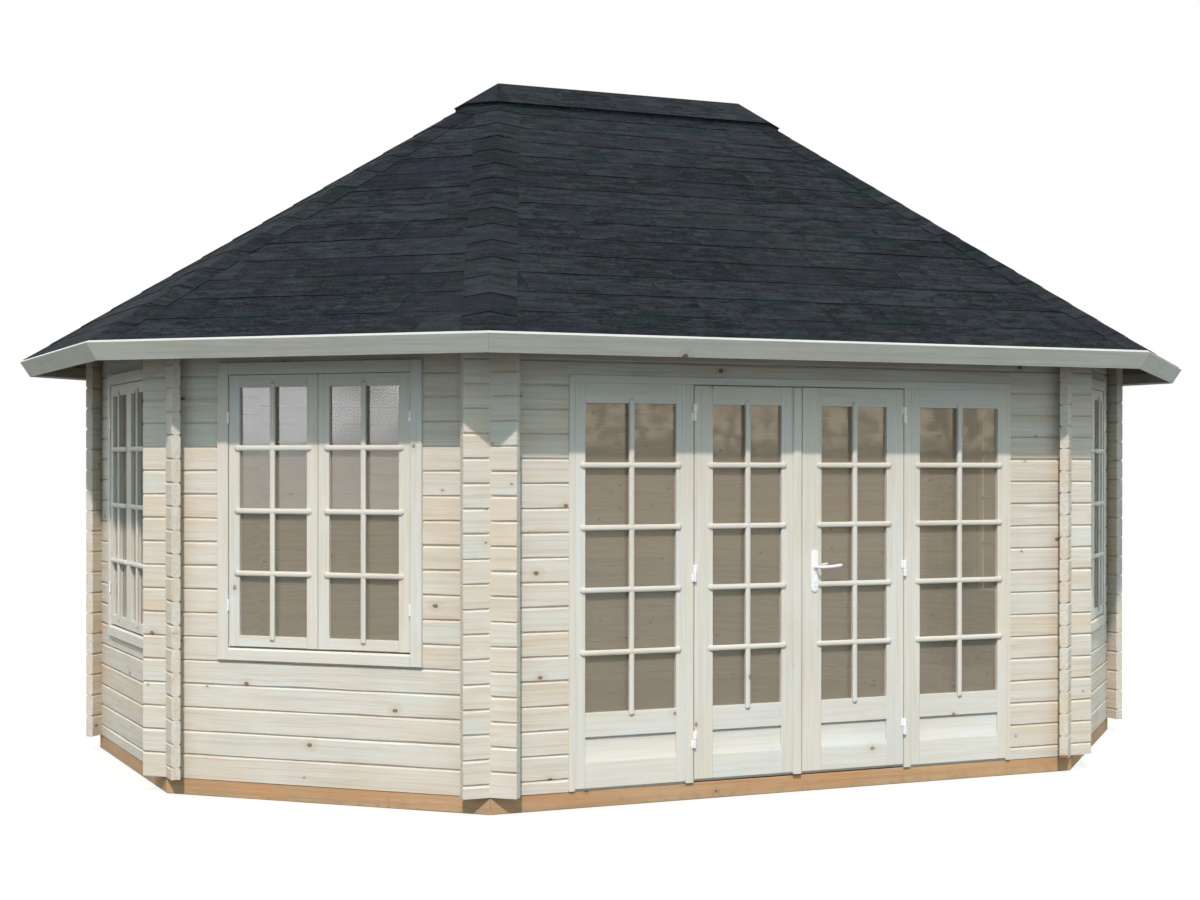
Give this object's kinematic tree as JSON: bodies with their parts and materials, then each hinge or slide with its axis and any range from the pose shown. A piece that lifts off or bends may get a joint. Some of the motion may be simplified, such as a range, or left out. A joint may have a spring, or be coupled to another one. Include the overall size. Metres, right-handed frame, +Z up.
{
  "type": "garden gazebo",
  "caption": "Closed log garden gazebo on a stretched octagon plan, with a shingled hip roof, a glazed double door between fixed sidelights, and casement windows.",
  "frame": {"origin": "centre of the plan at ground level, under the middle of the ridge", "axes": "+X to the right along the front wall seen from outside, +Y from the front wall with the doors to the back wall, +Z up"},
  "size_m": [6.494, 4.958, 3.752],
  "materials": {
    "foundation_timber": "pressure treated, brown",
    "log": "pale whitewashed spruce, planed",
    "joinery": "pale painted spruce, planed",
    "roof_timber": "bare spruce, sawn",
    "floor": "bare spruce, planed",
    "fascia": "grey green stain",
    "shingle": "charcoal mineral felt shingles",
    "glass": "clear float glass",
    "white_metal": "white powder coat"
  },
  "bodies": {
    "building": {"foundation_beams": "foundation_timber", "floor_joists": "roof_timber", "hip_rafters": "roof_timber", "ridge_beam": "roof_timber", "floor_boards": "floor", "front_wall_left": "log", "front_wall_right": "log", "front_wall_header": "log", "front_left_wall": "log", "front_right_wall": "log", "left_wall": "log", "right_wall": "log", "back_left_wall": "log", "back_right_wall": "log", "back_wall": "log", "wall_plates": "log", "front_roof_panel": "shingle", "front_right_roof_panel": "shingle", "right_roof_panel": "shingle", "back_right_roof_panel": "shingle", "back_roof_panel": "shingle", "back_left_roof_panel": "shingle", "left_roof_panel": "shingle", "front_left_roof_panel": "shingle", "fascia_boards": "fascia", "ridge_cap": "shingle", "door_posts": "joinery", "door_head": "joinery", "door_threshold": "joinery", "sidelights": "joinery", "window_frames": "joinery", "window_sashes": "joinery", "sidelight_glass": "glass", "window_glass": "glass", "post_hinges": "white_metal"},
    "left_door": {"left_door_leaf": "joinery", "left_door_glass": "glass", "left_door_hinges": "white_metal"},
    "right_door": {"right_door_leaf": "joinery", "right_door_glass": "glass", "right_door_hinges": "white_metal", "handle_plates": "white_metal"},
    "lever": {"door_lever": "white_metal"}
  },
  "joints": [
    {"name": "left_door_hinge", "type": "hinge", "parent": "building", "child": "left_door", "pos_m": [-0.5885, -2.08518, 0.95], "axis": [0, 0, -1], "range_deg": [0, 110]},
    {"name": "right_door_hinge", "type": "hinge", "parent": "building", "child": "right_door", "pos_m": [0.5885, -2.08518, 0.95], "axis": [0, 0, 1], "range_deg": [0, 110]},
    {"name": "lever_hinge", "type": "hinge", "parent": "right_door", "child": "lever", "pos_m": [0.072, -2.05698, 1.095], "axis": [0, 1, 0], "range_deg": [0, 40], "stiffness_Nm_per_rad": 1, "springref_deg": -20.05}
  ]
}
